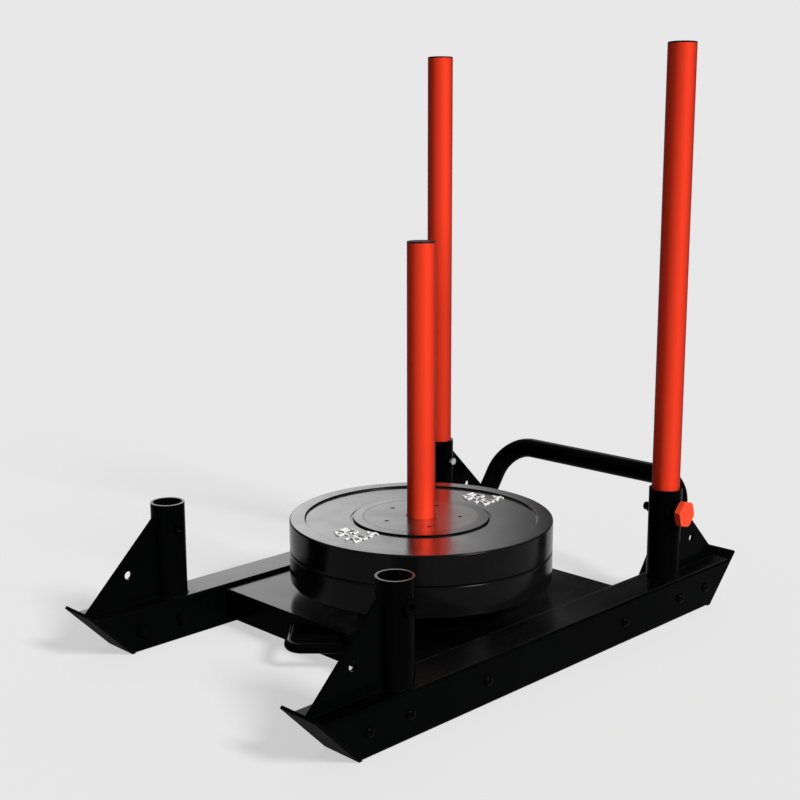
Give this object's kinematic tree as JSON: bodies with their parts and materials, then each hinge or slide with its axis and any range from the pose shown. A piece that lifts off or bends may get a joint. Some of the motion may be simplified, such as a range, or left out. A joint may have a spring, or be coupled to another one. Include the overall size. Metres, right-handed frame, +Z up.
{
  "type": "push sled",
  "caption": "push sled with bolted ski rails, low deck, corner sockets, lift-out push poles with clamp knobs, rear low handle, tow loop and a centre post carrying bumper plates",
  "frame": {"origin": "on the floor under the middle of the sled's length and width, at the post's axis", "axes": "+X across the sled to its right rail, +Y along the rails to the push poles and the low handle, +Z up"},
  "size_m": [0.632, 1.0264, 0.982],
  "materials": {
    "steel_black": "satin black powder coat, scuffed through at edges and on the floor faces",
    "pole_red": "satin red-orange powder coat with rub marks",
    "zinc": "bright zinc plating",
    "bolt_black": "black oxide",
    "cap_black": "fine matt grain",
    "plate_rubber": "moulded rubber, satin, slightly dusty",
    "disc_black": "satin black coat",
    "core_steel": "machined steel"
  },
  "bodies": {
    "sled": {"left_rail": "steel_black", "right_rail": "steel_black", "front_left_nose": "steel_black", "front_right_nose": "steel_black", "rear_left_nose": "steel_black", "rear_right_nose": "steel_black", "front_left_socket": "steel_black", "front_right_socket": "steel_black", "rear_left_socket": "steel_black", "rear_right_socket": "steel_black", "front_left_gusset": "steel_black", "front_right_gusset": "steel_black", "rear_left_gusset": "steel_black", "rear_right_gusset": "steel_black", "outer_weld_nuts": "steel_black", "inner_weld_nuts": "steel_black", "set_screws": "zinc", "nose_bolts": "bolt_black", "nose_nuts": "bolt_black", "deck_bolts": "bolt_black", "deck_nuts": "bolt_black", "deck": "steel_black", "deck_stiffener": "steel_black", "tow_loop": "steel_black", "low_handle": "steel_black", "handle_plugs": "cap_black", "post_socket": "steel_black", "rest_flange": "steel_black", "post_floor": "steel_black"},
    "left_pole_body": {"left_pole": "pole_red", "left_pole_cap": "cap_black"},
    "right_pole_body": {"right_pole": "pole_red", "right_pole_cap": "cap_black"},
    "centre_post_body": {"centre_post": "pole_red", "centre_post_cap": "cap_black"},
    "left_washer_body": {"left_washer": "zinc"},
    "left_knob_body": {"left_knob": "pole_red", "left_knob_stud": "zinc"},
    "right_washer_body": {"right_washer": "zinc"},
    "right_knob_body": {"right_knob": "pole_red", "right_knob_stud": "zinc"},
    "lower_plate_body": {"lower_plate": "plate_rubber", "lower_hub_discs": "disc_black", "lower_hub_core": "core_steel", "lower_hub_screws": "bolt_black"},
    "upper_plate_body": {"upper_plate": "plate_rubber", "upper_hub_discs": "disc_black", "upper_hub_core": "core_steel", "upper_hub_screws": "bolt_black"}
  },
  "joints": [
    {"name": "left_pole_lift", "type": "slide", "parent": "sled", "child": "left_pole_body", "axis": [0, 0, 1], "range_m": [0, 0.16]},
    {"name": "right_pole_lift", "type": "slide", "parent": "sled", "child": "right_pole_body", "axis": [0, 0, 1], "range_m": [0, 0.16]},
    {"name": "centre_post_lift", "type": "slide", "parent": "sled", "child": "centre_post_body", "axis": [0, 0, 1], "range_m": [0, 0.075]},
    {"name": "lower_plate_lift", "type": "slide", "parent": "sled", "child": "lower_plate_body", "axis": [0, 0, 1], "range_m": [0, 0.2]},
    {"name": "upper_plate_lift", "type": "slide", "parent": "lower_plate_body", "child": "upper_plate_body", "axis": [0, 0, 1], "range_m": [0, 0.26]},
    {"name": "left_knob_travel", "type": "slide", "parent": "sled", "child": "left_washer_body", "axis": [-1, 0, 0], "range_m": [0, 0.00525]},
    {"name": "left_knob_turn", "type": "hinge", "parent": "left_washer_body", "child": "left_knob_body", "pos_m": [-0.271, 0.331, 0.192], "axis": [-1, 0, 0], "range_deg": [0, 1080]},
    {"name": "right_knob_travel", "type": "slide", "parent": "sled", "child": "right_washer_body", "axis": [1, 0, 0], "range_m": [0, 0.00525]},
    {"name": "right_knob_turn", "type": "hinge", "parent": "right_washer_body", "child": "right_knob_body", "pos_m": [0.271, 0.331, 0.192], "axis": [1, 0, 0], "range_deg": [0, 1080]}
  ],
  "couplings": [
    {"joint": "left_knob_turn", "follows": "left_knob_travel", "rad_per_m": 3590.4},
    {"joint": "right_knob_turn", "follows": "right_knob_travel", "rad_per_m": 3590.4}
  ]
}
